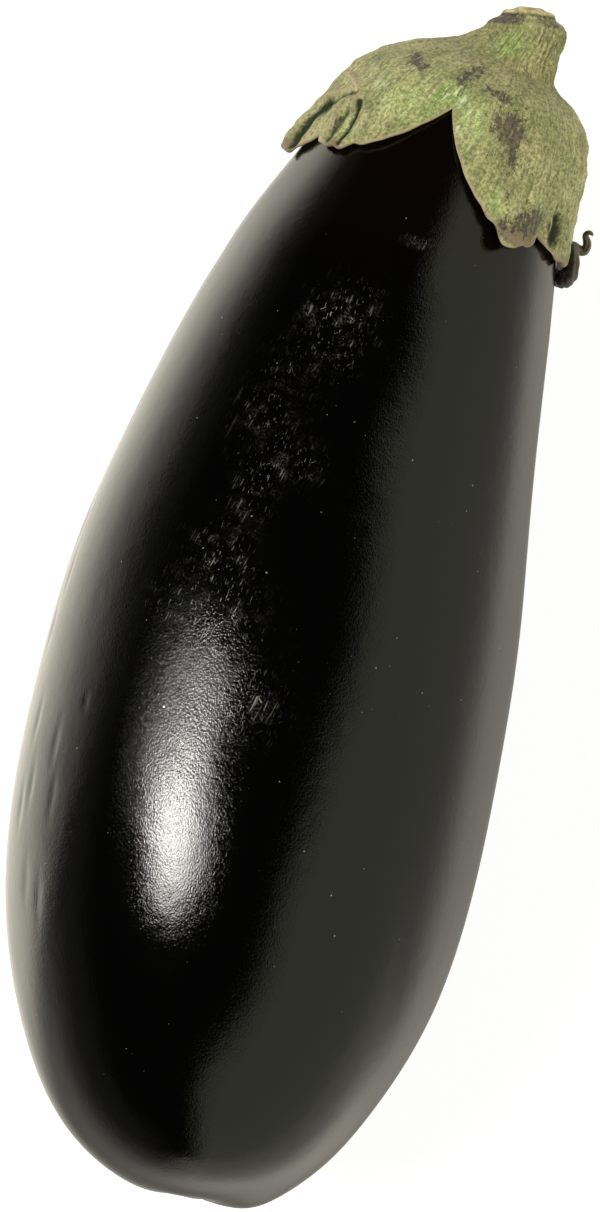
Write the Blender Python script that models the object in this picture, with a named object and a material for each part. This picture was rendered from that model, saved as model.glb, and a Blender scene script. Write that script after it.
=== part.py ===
"""An eggplant lying on its side: the fruit, its green cap with the cut stem, and one dried lobe tip.

Metres, +Z up. +Y runs along the fruit from the blossom end to the stem, and the origin is the middle of the
small flat spot that the fruit rests on. A place on the fruit is given by its station, the distance along the
fruit from the blossom end, and its azimuth, the angle round the fruit from +X towards +Z.
"""
import math

import bmesh
import bpy
import numpy as np

# Fruit: station and radius
FRUIT_LENGTH = 0.2170
FRUIT_PROFILE = (
    (0.0000, 0.0000),
    (0.0090, 0.0228),
    (0.0240, 0.0331),
    (0.0460, 0.0410),
    (0.0830, 0.0440),
    (0.1200, 0.0415),
    (0.1500, 0.0361),
    (0.1800, 0.0295),
    (0.1900, 0.0264),
    (0.2000, 0.0234),
    (0.2100, 0.0183),
    (0.2170, 0.0000),
)
SECTION_HEIGHT = 0.965  # a section's height as a share of its width
BLOSSOM_DENT = (0.0065, 0.0010, 0.0060, 0.0015)  # x, z, reach and depth of the dent at the blossom end
BLOSSOM_BULGE = (0.0190, 0.0020, 0.0060, -0.0013)  # the low bulge beside it stands out

# Middle line: how far the sections' centres stand to the +X side, which gives the stem its lean
MIDDLE_LINE = (
    (0.0000, 0.0039),
    (0.0450, 0.0012),
    (0.0900, -0.0004),
    (0.1300, -0.0009),
    (0.1600, 0.0003),
    (0.1800, 0.0025),
    (0.1900, 0.0044),
    (0.2000, 0.0065),
    (0.2110, 0.0090),
    (0.2201, 0.0122),
    (0.2269, 0.0146),
    (0.2309, 0.0146),
)
# Turn of the sections about Z: station and degrees, with the -X side nearer the stem where it is positive
SECTION_TURN = (
    (0.1720, 0.0),
    (0.1980, 8.0),
    (0.2160, 9.0),
    (0.2201, 12.0),
    (0.2269, -8.0),
    (0.2309, -9.0),
)

# Resting place: the fruit leans until the lowest point is under its weight, and is flattened there
REST_STATION = 0.1040
REST_FLATTENING = 0.0007

# Cap and stem: outer outline from the cut end down to the longest lobe, as station and radius
CUT_OUTLINE = (
    (0.2309, 0.0000),
    (0.2307, 0.0024),
    (0.2298, 0.0041),
    (0.2289, 0.0051),
    (0.2279, 0.0064),
    (0.2269, 0.0075),
)
CAP_OUTLINE = (
    (0.2269, 0.0075),
    (0.2235, 0.0085),
    (0.2201, 0.0101),
    (0.2182, 0.0137),
    (0.2155, 0.0183),
    (0.2110, 0.0225),
    (0.2030, 0.0253),
    (0.1956, 0.0267),
    (0.1870, 0.0288),
    (0.1820, 0.0302),
)
SHOULDER_STATION = 0.2120  # below it the cap parts into lobes
SHOULDER_BLEND = 0.0040  # the lobes' thinning sets in over this distance
# Lobes: azimuth of the tip in degrees, its station, how full its sides are, and how far the tip is lifted
LOBE_TIPS = (
    (-90.0, 0.1885, 1.6, 0.0003),
    (-33.75, 0.1915, 1.5, 0.0003),
    (11.25, 0.1883, 1.4, 0.0006),
    (48.75, 0.1892, 1.7, 0.0015),
    (142.5, 0.1941, 1.9, 0.0006),
    (175.0, 0.1908, 1.5, 0.0005),
    (217.5, 0.1910, 1.6, 0.0004),
)
# Notches: azimuth in degrees and station, each between the two tips on its sides
NOTCHES = (
    (-116.25, 0.2050),
    (-56.25, 0.2030),
    (-15.0, 0.1985),
    (37.5, 0.1922),
    (99.0, 0.2084),
    (155.0, 0.1957),
    (198.75, 0.2000),
)
CAP_GAP = 0.00035  # between the cap's inside and the fruit's skin
LOBE_EDGE = 0.0011  # thickness at the lobes' edges
EDGE_TAPER = 0.0060  # the wall thins over this distance from an edge
LIFT_REACH = 0.0110  # a lifted tip rises over this distance
LIFTED_SHARE = 0.6  # share of a lobe's side, from the notch, over which the lift sets in
RIB_HEIGHT = 0.0004  # a rib runs down the middle of each lobe, and a furrow down to each notch
RIB_RUN = 0.0100  # ribs and furrows fade in over this distance from the cut end
FOLD_AZIMUTH = 150.0  # a rolled fold lies along the notch between two lobes
FOLD_WIDTH = 5.0
FOLD_HEIGHT = 0.0013
FOLD_TOP = 0.2080
FOLD_RUN = 0.0080  # it rises over this distance from its top

# Dried tip: its centre line as station, x, height above the middle line, and the tube's radius
DRIED_TIP_PATH = (
    (0.1876, 0.0281, -0.0145, 0.00110),
    (0.1862, 0.0291, -0.0136, 0.00135),
    (0.1844, 0.0307, -0.0117, 0.00150),
    (0.1829, 0.0323, -0.0090, 0.00160),
    (0.1832, 0.0335, -0.0060, 0.00160),
    (0.1850, 0.0337, -0.0038, 0.00150),
    (0.1872, 0.0336, -0.0030, 0.00130),
    (0.1890, 0.0332, -0.0040, 0.00110),
    (0.1898, 0.0332, -0.0061, 0.00100),
    (0.1895, 0.0342, -0.0077, 0.00095),
    (0.1896, 0.0352, -0.0080, 0.00090),
    (0.1905, 0.0356, -0.0076, 0.00080),
    (0.1916, 0.0353, -0.0071, 0.00070),
    (0.1924, 0.0349, -0.0066, 0.00058),
    (0.1930, 0.0352, -0.0059, 0.00045),
    (0.1930, 0.0358, -0.0054, 0.00035),
    (0.1926, 0.0362, -0.0050, 0.00022),
)
DRIED_TIP_POINTS = 34

# Mesh density
FRUIT_SEGMENTS, FRUIT_RINGS = 64, 40
CAP_SEGMENTS, CAP_RINGS = 96, 40
CUT_ROWS = 5  # rings of the cap on the cut end
SHOULDER_ROWS = 14  # rings down to the shoulder
EDGE_ROW = 24  # last ring of the outside, at the lobes' edges


def smooth_line(knots, at):
    """Values at the numbers in at, on the natural cubic spline through knots, a row of (number, value, ...)."""
    knots = np.asarray(knots, dtype=float)
    number, value = knots[:, 0], knots[:, 1:]
    step = np.diff(number)
    slope = np.diff(value, axis=0) / step[:, None]
    count = len(number)
    system = np.eye(count)
    right = np.zeros_like(value)
    for i in range(1, count - 1):
        system[i, i - 1:i + 2] = step[i - 1], 2.0 * (step[i - 1] + step[i]), step[i]
        right[i] = 6.0 * (slope[i] - slope[i - 1])
    bend = np.linalg.solve(system, right)
    at = np.clip(np.asarray(at, dtype=float), number[0], number[-1])
    span = np.clip(np.searchsorted(number, at, side="right") - 1, 0, count - 2)
    after = (at - number[span])[..., None]
    before = (number[span + 1] - at)[..., None]
    width = step[span][..., None]
    bent = (bend[span] * before ** 3 + bend[span + 1] * after ** 3) / (6.0 * width)
    low = (value[span] / width - bend[span] * width / 6.0) * before
    high = (value[span + 1] / width - bend[span + 1] * width / 6.0) * after
    return (bent + low + high)[..., 0] if value.shape[1] == 1 else bent + low + high


def smooth_path(points, share):
    """Places at the shares 0 to 1 of the length of a smooth line through points."""
    points = np.asarray(points, dtype=float)
    length = np.concatenate([[0.0], np.cumsum(np.linalg.norm(np.diff(points, axis=0), axis=1))])
    return smooth_line(np.column_stack([length, points]), np.asarray(share) * length[-1])


def ease(share):
    """0 to 1 with level ends, held at 0 and 1 outside."""
    share = np.clip(share, 0.0, 1.0)
    return share * share * (3.0 - 2.0 * share)


def pole_angle(station):
    """Angle of a station seen from the fruit's middle, 0 at the blossom end and pi at the stem end."""
    return np.arccos(np.clip(1.0 - 2.0 * np.asarray(station) / FRUIT_LENGTH, -1.0, 1.0))


def fruit_outline(angle):
    """Station and radius of the fruit's skin at a pole angle."""
    knots = [(float(pole_angle(station)), radius) for station, radius in FRUIT_PROFILE]
    return 0.5 * FRUIT_LENGTH * (1.0 - np.cos(angle)), smooth_line(knots, angle)


def offset_outline(angle, distance):
    """The fruit's outline moved out of the skin by a distance, square to it."""
    small = 1e-4
    station, radius = fruit_outline(angle)
    station_on, radius_on = fruit_outline(np.minimum(angle + small, math.pi))
    station_back, radius_back = fruit_outline(np.maximum(angle - small, 0.0))
    along, out = station_on - station_back, radius_on - radius_back
    length = np.hypot(along, out)
    return station - distance * out / length, radius + distance * along / length


def place(station, azimuth, radius):
    """Points at a station, azimuth and radius round the middle line, before the fruit is laid down."""
    centre = smooth_line(MIDDLE_LINE, station)
    turn = np.radians(np.interp(station, *zip(*SECTION_TURN)))
    side = radius * np.cos(azimuth)
    return np.stack([
        centre + side * np.cos(turn),
        station - side * np.sin(turn),
        SECTION_HEIGHT * radius * np.sin(azimuth),
    ], axis=-1)


def lay_down(points):
    """Leans the fruit until its underside is level at REST_STATION, and sets that spot on the origin."""
    small = 1e-5
    _, radius = fruit_outline(pole_angle(np.array([REST_STATION - small, REST_STATION, REST_STATION + small])))
    lean = math.atan(SECTION_HEIGHT * (radius[2] - radius[0]) / (2.0 * small))
    depth = SECTION_HEIGHT * radius[1]
    along = points[..., 1] - REST_STATION
    height = points[..., 2] + depth
    sine, cosine = math.sin(lean), math.cos(lean)
    return np.stack([
        points[..., 0] - smooth_line(MIDDLE_LINE, REST_STATION),
        along * cosine - height * sine,
        along * sine + height * cosine - REST_FLATTENING,
    ], axis=-1)


def lobe_edge(azimuth_degrees):
    """Station of the cap's edge, fullness of the lobe there, tip lift and place between notch 0 and tip 1."""
    turns = (np.asarray(azimuth_degrees) - NOTCHES[0][0]) % 360.0 + NOTCHES[0][0]
    notches = np.array(NOTCHES + ((NOTCHES[0][0] + 360.0, NOTCHES[0][1]),))
    tips = np.array(LOBE_TIPS)
    lobe = np.clip(np.searchsorted(notches[:, 0], turns, side="right") - 1, 0, len(tips) - 1)
    tip = tips[lobe]
    notch = np.where((turns < tip[..., 0])[..., None], notches[lobe], notches[lobe + 1])
    share = np.clip((turns - notch[..., 0]) / (tip[..., 0] - notch[..., 0]), 0.0, 1.0)
    reach = 1.0 - (1.0 - share) ** tip[..., 2]
    return notch[..., 1] + (tip[..., 1] - notch[..., 1]) * reach, tip[..., 3], share


def cap_points(row, azimuth):
    """Points of the cap: rows 0 to EDGE_ROW are its outside from the cut end to the lobes' edges, and the
    rows after that its inside, back up along the fruit's skin."""
    degrees = np.degrees(azimuth)
    edge_station, tip_lift, share = lobe_edge(degrees)

    table = np.linspace(0.0, 1.0, 2001)
    line = smooth_path(CAP_OUTLINE, table)
    shoulder = np.interp(-SHOULDER_STATION, -line[:, 0], table)
    edge = np.interp(-edge_station, -line[:, 0], table)
    upper = (row - CUT_ROWS) / (SHOULDER_ROWS - CUT_ROWS) * shoulder
    lower = shoulder + (edge - shoulder) * (row - SHOULDER_ROWS) / (EDGE_ROW - SHOULDER_ROWS)
    down = np.clip(np.where(row < SHOULDER_ROWS, upper, lower), 0.0, 1.0)
    station, radius = np.moveaxis(smooth_path(CAP_OUTLINE, down), -1, 0)
    cut = smooth_path(CUT_OUTLINE, np.clip(row / CUT_ROWS, 0.0, 1.0))
    on_cut = row < CUT_ROWS

    # Distance to the nearest edge, and what the wall's thickness and the lifted tips make of it
    outline_length = np.sum(np.linalg.norm(np.diff(line, axis=0), axis=1))
    small = 0.25
    edge_slope = (lobe_edge(degrees + small)[0] - lobe_edge(degrees - small)[0]) / math.radians(2.0 * small)
    distance = (edge - down) * outline_length / np.hypot(1.0, edge_slope / np.maximum(radius, 0.01))
    inner_angle = pole_angle(np.minimum(station, FRUIT_LENGTH))
    inner_station, inner_radius = offset_outline(inner_angle, CAP_GAP)
    wall = np.maximum(radius - inner_radius, 0.0)
    in_lobes = ease(0.5 + (SHOULDER_STATION - station) / SHOULDER_BLEND)
    near_edge = (1.0 - ease(distance / EDGE_TAPER)) * in_lobes
    thinned = near_edge * (wall - LOBE_EDGE)
    rib_start = ease((CAP_OUTLINE[0][0] - station) / RIB_RUN)
    rib = -RIB_HEIGHT * np.cos(math.pi * share) * rib_start * (1.0 - near_edge)
    fold_side = (degrees % 360.0 - FOLD_AZIMUTH) / FOLD_WIDTH
    fold_start = ease((FOLD_TOP - station) / FOLD_RUN)
    fold = FOLD_HEIGHT * np.exp(-fold_side ** 2) * fold_start * (1.0 - near_edge)
    radius = radius - thinned + rib + fold

    # Inside rows run from the edge up to the fruit's stem end
    inside = np.clip((row - EDGE_ROW - 1) / (CAP_RINGS - EDGE_ROW - 1), 0.0, 1.0)
    edge_angle = pole_angle(edge_station)
    back_angle = edge_angle + (math.pi - edge_angle) * inside
    back_station, back_radius = offset_outline(back_angle, CAP_GAP)
    is_inside = row > EDGE_ROW
    back_distance = (back_station - edge_station) / np.hypot(1.0, edge_slope / np.maximum(back_radius, 0.01))

    station = np.where(is_inside, back_station, np.where(on_cut, cut[..., 0], station))
    radius = np.where(is_inside, back_radius, np.where(on_cut, cut[..., 1], radius))
    rise = np.where(is_inside, back_distance, distance)
    lift = tip_lift * ease(share / LIFTED_SHARE) * (1.0 - ease(rise / LIFT_REACH)) * ~on_cut
    return lay_down(place(station, azimuth, radius + lift))


def fruit_points(polar, azimuth):
    """Points of the fruit's skin at a pole angle from the blossom end."""
    station, radius = fruit_outline(polar)
    points = place(station, azimuth, radius)
    for x, z, reach, depth in (BLOSSOM_DENT, BLOSSOM_BULGE):
        away = (points[..., 0] - x) ** 2 + (points[..., 2] - z) ** 2
        points[..., 1] += depth * np.exp(-away / reach ** 2) * (station < 0.5 * FRUIT_LENGTH)
    return lay_down(points)


def make_material(name, colour, roughness):
    """A plain finish of one colour."""
    material = bpy.data.materials.new(name)
    material.use_nodes = True
    shader = material.node_tree.nodes["Principled BSDF"]
    shader.inputs["Base Color"].default_value = (*colour, 1.0)
    shader.inputs["Roughness"].default_value = roughness
    shader.inputs["Metallic"].default_value = 0.0
    material.diffuse_color = (*colour, 1.0)
    return material


def sphere_shape(segments, rings, points_at):
    """A UV sphere laid along Y whose points go to points_at(angle from the -Y pole, azimuth)."""
    bm = bmesh.new()
    bmesh.ops.create_uvsphere(bm, u_segments=segments, v_segments=rings, radius=1.0)
    ball = np.array([vert.co[:] for vert in bm.verts])
    polar = np.arctan2(np.hypot(ball[:, 0], ball[:, 1]), -ball[:, 2])
    azimuth = np.arctan2(-ball[:, 1], ball[:, 0])
    for vert, point in zip(bm.verts, points_at(polar, azimuth)):
        vert.co = point
    return bm


def finish_object(name, bm, material, collection):
    """Turns the mesh into a smooth-shaded object of the eggplant."""
    bmesh.ops.recalc_face_normals(bm, faces=bm.faces)
    mesh = bpy.data.meshes.new(name)
    bm.to_mesh(mesh)
    bm.free()
    mesh.shade_smooth()
    mesh.set_sharp_from_angle(angle=math.radians(50.0))
    mesh.materials.append(material)
    thing = bpy.data.objects.new(name, mesh)
    collection.objects.link(thing)
    return thing


def make_fruit(collection):
    """The fruit, cut flat where it rests."""
    skin = make_material("aubergine_skin", (0.012, 0.008, 0.012), 0.18)
    bm = sphere_shape(FRUIT_SEGMENTS, FRUIT_RINGS, fruit_points)
    everything = bm.verts[:] + bm.edges[:] + bm.faces[:]
    bmesh.ops.bisect_plane(bm, geom=everything, dist=1e-6, plane_co=(0, 0, 0), plane_no=(0, 0, -1), clear_outer=True)
    rim = [edge for edge in bm.edges if edge.is_boundary]
    bmesh.ops.holes_fill(bm, edges=rim, sides=0)
    return finish_object("fruit", bm, skin, collection)


def make_cap(collection):
    """The cap with its lobes and the cut stem."""
    green = make_material("calyx_green", (0.30, 0.33, 0.15), 0.65)

    def points_at(polar, azimuth):
        return cap_points(np.rint((math.pi - polar) / math.pi * CAP_RINGS), azimuth)

    return finish_object("calyx_and_stem", sphere_shape(CAP_SEGMENTS, CAP_RINGS, points_at), green, collection)


def make_dried_tip(collection):
    """The dried, curled end of a lobe: a tapering tube."""
    brown = make_material("dried_brown", (0.045, 0.038, 0.022), 0.45)
    way = smooth_path(DRIED_TIP_PATH, np.linspace(0.0, 1.0, DRIED_TIP_POINTS))
    points = lay_down(np.stack([way[:, 1], way[:, 0], way[:, 2]], axis=-1))
    curve = bpy.data.curves.new("withered_lobe_tip", "CURVE")
    curve.dimensions = "3D"
    curve.bevel_depth = max(point[3] for point in DRIED_TIP_PATH)
    curve.bevel_resolution = 2
    curve.use_fill_caps = True
    spline = curve.splines.new("POLY")
    spline.points.add(DRIED_TIP_POINTS - 1)
    for spot, point, radius in zip(spline.points, points, way[:, 3]):
        spot.co = (*point, 1.0)
        spot.radius = radius / curve.bevel_depth
    curve.materials.append(brown)
    thing = bpy.data.objects.new("withered_lobe_tip", curve)
    collection.objects.link(thing)
    return thing


def main():
    for old in list(bpy.data.objects):
        bpy.data.objects.remove(old, do_unlink=True)
    collection = bpy.data.collections.new("eggplant")
    bpy.context.scene.collection.children.link(collection)
    make_fruit(collection)
    make_cap(collection)
    make_dried_tip(collection)


main()
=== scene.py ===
"""An eggplant lying on its side: glossy, almost black skin, a leathery green cap with the cut stem, and one
dried, curled lobe tip, under soft studio light.

Metres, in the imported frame: +Y runs from the blossom end to the stem, +Z is up, and the origin is under the
resting fruit. A place on the fruit or the cap is given by its azimuth, in degrees round the middle line from
+X towards +Z, and by its station, the distance along the fruit from the blossom end.
"""
import math

import bpy
import numpy as np
from mathutils import Matrix, Vector


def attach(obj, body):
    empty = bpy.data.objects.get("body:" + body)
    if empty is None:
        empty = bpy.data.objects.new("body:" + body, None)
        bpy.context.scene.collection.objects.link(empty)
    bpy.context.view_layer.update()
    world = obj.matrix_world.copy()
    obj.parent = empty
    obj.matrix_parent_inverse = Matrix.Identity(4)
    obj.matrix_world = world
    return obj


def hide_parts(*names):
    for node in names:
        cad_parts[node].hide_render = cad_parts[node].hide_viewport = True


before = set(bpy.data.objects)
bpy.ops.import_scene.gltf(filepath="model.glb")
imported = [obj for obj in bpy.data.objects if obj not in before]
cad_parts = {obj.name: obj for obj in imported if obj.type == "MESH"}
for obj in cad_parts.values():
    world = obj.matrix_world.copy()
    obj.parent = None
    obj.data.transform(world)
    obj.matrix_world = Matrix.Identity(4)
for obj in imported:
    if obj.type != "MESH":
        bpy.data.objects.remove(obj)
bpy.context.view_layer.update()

# Fruit: station and radius
FRUIT_LENGTH = 0.2170
FRUIT_PROFILE = (
    (0.0000, 0.0000),
    (0.0090, 0.0228),
    (0.0240, 0.0331),
    (0.0460, 0.0410),
    (0.0830, 0.0440),
    (0.1200, 0.0415),
    (0.1500, 0.0361),
    (0.1800, 0.0295),
    (0.1900, 0.0264),
    (0.2000, 0.0234),
    (0.2100, 0.0183),
    (0.2170, 0.0000),
)
SECTION_HEIGHT = 0.965  # a section's height as a share of its width
BLOSSOM_DENT = (0.0065, 0.0010, 0.0060, 0.0015)  # x, z, reach and depth of the dent at the blossom end
BLOSSOM_BULGE = (0.0190, 0.0020, 0.0060, -0.0013)  # the low bulge beside it stands out

# Middle line: how far the sections' centres stand to the +X side, which gives the stem its lean
MIDDLE_LINE = (
    (0.0000, 0.0039),
    (0.0450, 0.0012),
    (0.0900, -0.0004),
    (0.1300, -0.0009),
    (0.1600, 0.0003),
    (0.1800, 0.0025),
    (0.1900, 0.0044),
    (0.2000, 0.0065),
    (0.2110, 0.0090),
    (0.2201, 0.0122),
    (0.2269, 0.0146),
    (0.2309, 0.0146),
)
# Turn of the sections about Z: station and degrees, with the -X side nearer the stem where it is positive
SECTION_TURN = (
    (0.1720, 0.0),
    (0.1980, 8.0),
    (0.2160, 9.0),
    (0.2201, 12.0),
    (0.2269, -8.0),
    (0.2309, -9.0),
)

# Resting place: the fruit leans until the lowest point is under its weight, and is flattened there
REST_STATION = 0.1040
REST_FLATTENING = 0.0007

# Unevenness of the skin
SKIN_ROWS, SKIN_COLUMNS = 250, 384
SWELL_HEIGHT = 0.00016  # low swells a few centimetres long
SWELL_LENGTH = 0.030
SWELL_STRETCH = (1.0, 0.6, 1.0)  # swells are longer along the fruit
SWELL_END = 0.176  # the swells and dents fade out before the cap
SWELL_FADE = 0.010
# Dents: azimuth in degrees, station, half length, half width and depth
DENTS = (
    (171.0, 0.0979, 0.0042, 0.0011, 0.00022),
    (162.0, 0.0807, 0.0034, 0.0009, 0.00022),
    (157.6, 0.0684, 0.0040, 0.0010, 0.00024),
    (162.8, 0.0644, 0.0036, 0.0011, 0.00026),
    (149.0, 0.0770, 0.0036, 0.0009, 0.00016),
    (146.0, 0.0676, 0.0040, 0.0008, 0.00014),
    (154.6, 0.0513, 0.0040, 0.0012, 0.00020),
    (147.5, 0.0486, 0.0045, 0.0012, 0.00014),
    (173.0, 0.1180, 0.0050, 0.0010, 0.00018),
    (168.0, 0.1090, 0.0040, 0.0008, 0.00014),
    (140.6, 0.0863, 0.0007, 0.0006, 0.00025),
    (68.0, 0.0402, 0.0010, 0.0009, 0.00022),
    (103.0, 0.0428, 0.0009, 0.0030, 0.00010),
    (84.0, 0.1832, 0.0004, 0.0022, 0.00010),
    (-20.0, 0.0900, 0.0060, 0.0016, 0.00025),
    (-48.0, 0.1350, 0.0050, 0.0014, 0.00020),
    (-130.0, 0.0700, 0.0065, 0.0016, 0.00025),
    (-155.0, 0.1250, 0.0050, 0.0012, 0.00020),
)
# Blossom scar: x and height of its middle, radius, and the puckers that run out from it
SCAR_PLACE = (0.0065, 0.0010)
SCAR_RADIUS = 0.0022
SCAR_FADE = 0.6  # its edge fades over this share of its radius
PUCKER_COUNT = 5
PUCKER_RADIUS = 0.0050
PUCKER_WIDTH = 0.0030
PUCKER_DEPTH = 0.00016
# Scuffed patches: azimuth, station, reach round, reach along, and strength
SCUFFS = (
    (98.5, 0.1640, 0.0042, 0.0062, 0.9),
    (107.0, 0.1660, 0.0034, 0.0040, 0.7),
    (100.0, 0.1380, 0.0040, 0.0034, 0.8),
    (112.0, 0.1480, 0.0050, 0.0080, 0.45),
    (108.0, 0.1320, 0.0030, 0.0060, 0.8),
    (113.0, 0.1180, 0.0045, 0.0050, 0.7),
    (105.5, 0.1120, 0.0028, 0.0050, 1.0),
    (95.0, 0.0935, 0.0045, 0.0055, 0.6),
    (113.0, 0.1075, 0.0090, 0.0050, 0.6),
    (86.0, 0.1831, 0.0030, 0.0006, 1.0),
    (-60.0, 0.1100, 0.0060, 0.0090, 0.5),
    (-125.0, 0.0900, 0.0060, 0.0080, 0.5),
    (20.0, 0.0800, 0.0050, 0.0070, 0.3),
)
# Places with stronger orange peel, in the same way
PEELED = (
    (110.0, 0.0985, 0.0150, 0.0110, 0.45),
    (116.0, 0.0860, 0.0070, 0.0120, 0.6),
    (104.0, 0.0700, 0.0130, 0.0230, 0.2),
    (-90.0, 0.0900, 0.0300, 0.0400, 0.4),
    (0.0, 0.1000, 0.0200, 0.0400, 0.3),
)
# Scuff strokes: turn, scale, thinness, threshold, and which half of the patchy noise they are in
SCUFF_STROKES = (
    (0.23, 2900.0, 0.030, 0.62, 1),
    (0.05, 5200.0, 0.050, 0.66, -1),
    (-0.70, 4300.0, 0.090, 0.69, 1),
    (0.90, 4700.0, 0.130, 0.70, -1),
)
STROKE_SOFTNESS = 0.06
TINT_START, TINT_FADE = 0.170, 0.026  # the skin gets warmer towards the cap from this station

# Cap and stem: outer outline from the cut end down to the longest lobe, as station and radius
CUT_OUTLINE = (
    (0.2309, 0.0000),
    (0.2308, 0.0021),
    (0.2302, 0.0038),
    (0.2297, 0.0049),
    (0.2289, 0.0052),
    (0.2284, 0.0060),
    (0.2278, 0.0070),
    (0.2269, 0.0075),
)
PLATE_RADIUS = 0.0050  # the straw-coloured cut plate, with a torn band below it on the upper side
# Torn bands: azimuth, reach in degrees, and strength
BANDS = ((135.0, 44.0, 1.0), (48.0, 26.0, 0.70), (-80.0, 60.0, 0.35))
PLATE_STEP = 0.00022  # half width of the painted shade along the step round the plate
PLATE_STEP_SHADE = 0.6  # how dark that painted shade is
CUT_LUMPS, CUT_LUMP_LENGTH = 0.00012, 0.0022
CAP_OUTLINE = (
    (0.2269, 0.0075),
    (0.2235, 0.0085),
    (0.2201, 0.0101),
    (0.2182, 0.0137),
    (0.2155, 0.0183),
    (0.2110, 0.0225),
    (0.2030, 0.0253),
    (0.1956, 0.0267),
    (0.1870, 0.0288),
    (0.1820, 0.0302),
)
SHOULDER_STATION = 0.2120  # below it the cap parts into lobes
SHOULDER_BLEND = 0.0040  # the lobes' thinning sets in over this distance
# Lobes: azimuth of the tip in degrees, its station, how full its sides are, and how far the tip is lifted
LOBE_TIPS = (
    (-90.0, 0.1885, 1.6, 0.0003),
    (-33.75, 0.1915, 1.5, 0.0003),
    (11.25, 0.1883, 1.4, 0.0006),
    (48.75, 0.1892, 1.7, 0.0015),
    (142.5, 0.1941, 1.9, 0.0006),
    (175.0, 0.1916, 1.9, 0.0005),
    (217.5, 0.1910, 1.6, 0.0004),
)
# Notches: azimuth in degrees and station, each between the two tips on its sides
NOTCHES = (
    (-116.25, 0.2050),
    (-56.25, 0.2030),
    (-15.0, 0.1985),
    (37.5, 0.1922),
    (99.0, 0.2084),
    (155.0, 0.1957),
    (198.75, 0.2000),
)
CAP_GAP = 0.00035  # between the cap's inside and the fruit's skin
LOBE_EDGE = 0.0009  # thickness at the lobes' edges
EDGE_TAPER = 0.0060  # the wall thins over this distance from an edge
LIFT_REACH = 0.0110  # a lifted tip rises over this distance
LIFTED_SHARE = 0.6  # share of a lobe's side, from the notch, over which the lift sets in
RIB_HEIGHT = 0.0004  # a rib runs down the middle of each lobe, and a furrow down to each notch
RIB_RUN = 0.0100  # ribs and furrows fade in over this distance from the cut end
FOLD_AZIMUTH = 150.0  # a rolled fold lies along the notch between two lobes
FOLD_WIDTH = 5.0
FOLD_HEIGHT = 0.0006
FOLD_TOP = 0.2080
FOLD_RUN = 0.0080  # it rises over this distance from its top

# Finer relief of the cap
CAP_COLUMNS = 420
COLUMN_CLEARANCE = 0.3  # degrees that the evenly spread columns keep from the tips and notches
OUTLINE_SAMPLES = 2001
EDGE_SEARCH, EDGE_SEARCH_STEP = 60.0, 0.5  # degrees to both sides in which the nearest edge is sought
EDGE_RADIUS = 0.0275  # usual radius of the lobes, for turning those degrees into lengths
CUT_ROWS, NECK_ROWS, LOBE_ROWS, RIM_ROWS, INSIDE_ROWS = 18, 46, 100, 5, 24
RIM_BULGE = 0.25  # how far the edges bulge, as a share of their thickness
EDGE_WAVE = 0.00022  # the lobes' edges waver by this much, in two waves with these counts round the cap
EDGE_WAVE_COUNTS = (31.0, 47.0)
INLAND_REACH = 0.0015  # lumps and pits set in over this distance from an edge
LUMP_HEIGHT, LUMP_LENGTH = 0.00016, 0.0045
PIT_HEIGHT, PIT_LENGTH = 0.00006, 0.0014
FIBRE_HEIGHT = 0.00014  # lengthwise ridges, strongest on the stem
FIBRE_COUNTS = (44.0, 71.0)  # their numbers round the cap, in two sets
LOBE_FIBRES = 0.25  # their height on the lobes as a share of that on the stem
FIBRE_WANDER, WANDER_LENGTH = 0.08, 0.012  # how far they bend, in radians, and the length of a bend
FIBRE_END = 0.2140
FIBRE_FADE = 0.0070
FIBRE_STRETCH = 0.14  # fibres are drawn out along the cap by shrinking the stations
CAP_RADIUS = 0.0262  # usual radius of the cap, for turning degrees into lengths round it
LEAST_WALL = 0.00030  # creases leave at least this much of the lobes' thickness
RIM_REACH = 0.00035  # width of the tan rim
DRY_REACH, DRY_EDGE = 0.0016, 0.6  # width and strength of the dried band along the lobes' edges
# Margins lifted straight up: azimuth, station, reach round in degrees, reach along, and height
LIFTED_MARGINS = (
    (56.0, 0.1885, 8.0, 0.0036, 0.0015),
    (30.0, 0.1895, 7.0, 0.0040, 0.0008),
    (118.0, 0.1975, 9.0, 0.0030, 0.0005),
)
# Thickened ends: azimuth, station, reach round in degrees, reach along, and height
THICK_ENDS = (
    (180.0, 0.1938, 8.0, 0.0050, 0.0019),
    (12.0, 0.1905, 9.0, 0.0035, 0.0006),
    (50.0, 0.1905, 8.0, 0.0020, 0.0003),
    (140.0, 0.1950, 4.0, 0.0016, 0.0006),
)
# Jags in the lobes' edges: azimuth, reach in degrees, and how much further down the lobe runs there
JAGS = (
    (55.0, 5.0, 0.0018),
    (45.5, 1.6, 0.0004),
    (139.5, 2.0, -0.0003),
    (130.0, 5.0, -0.0005),
    (8.0, 2.0, 0.0004),
)
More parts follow.
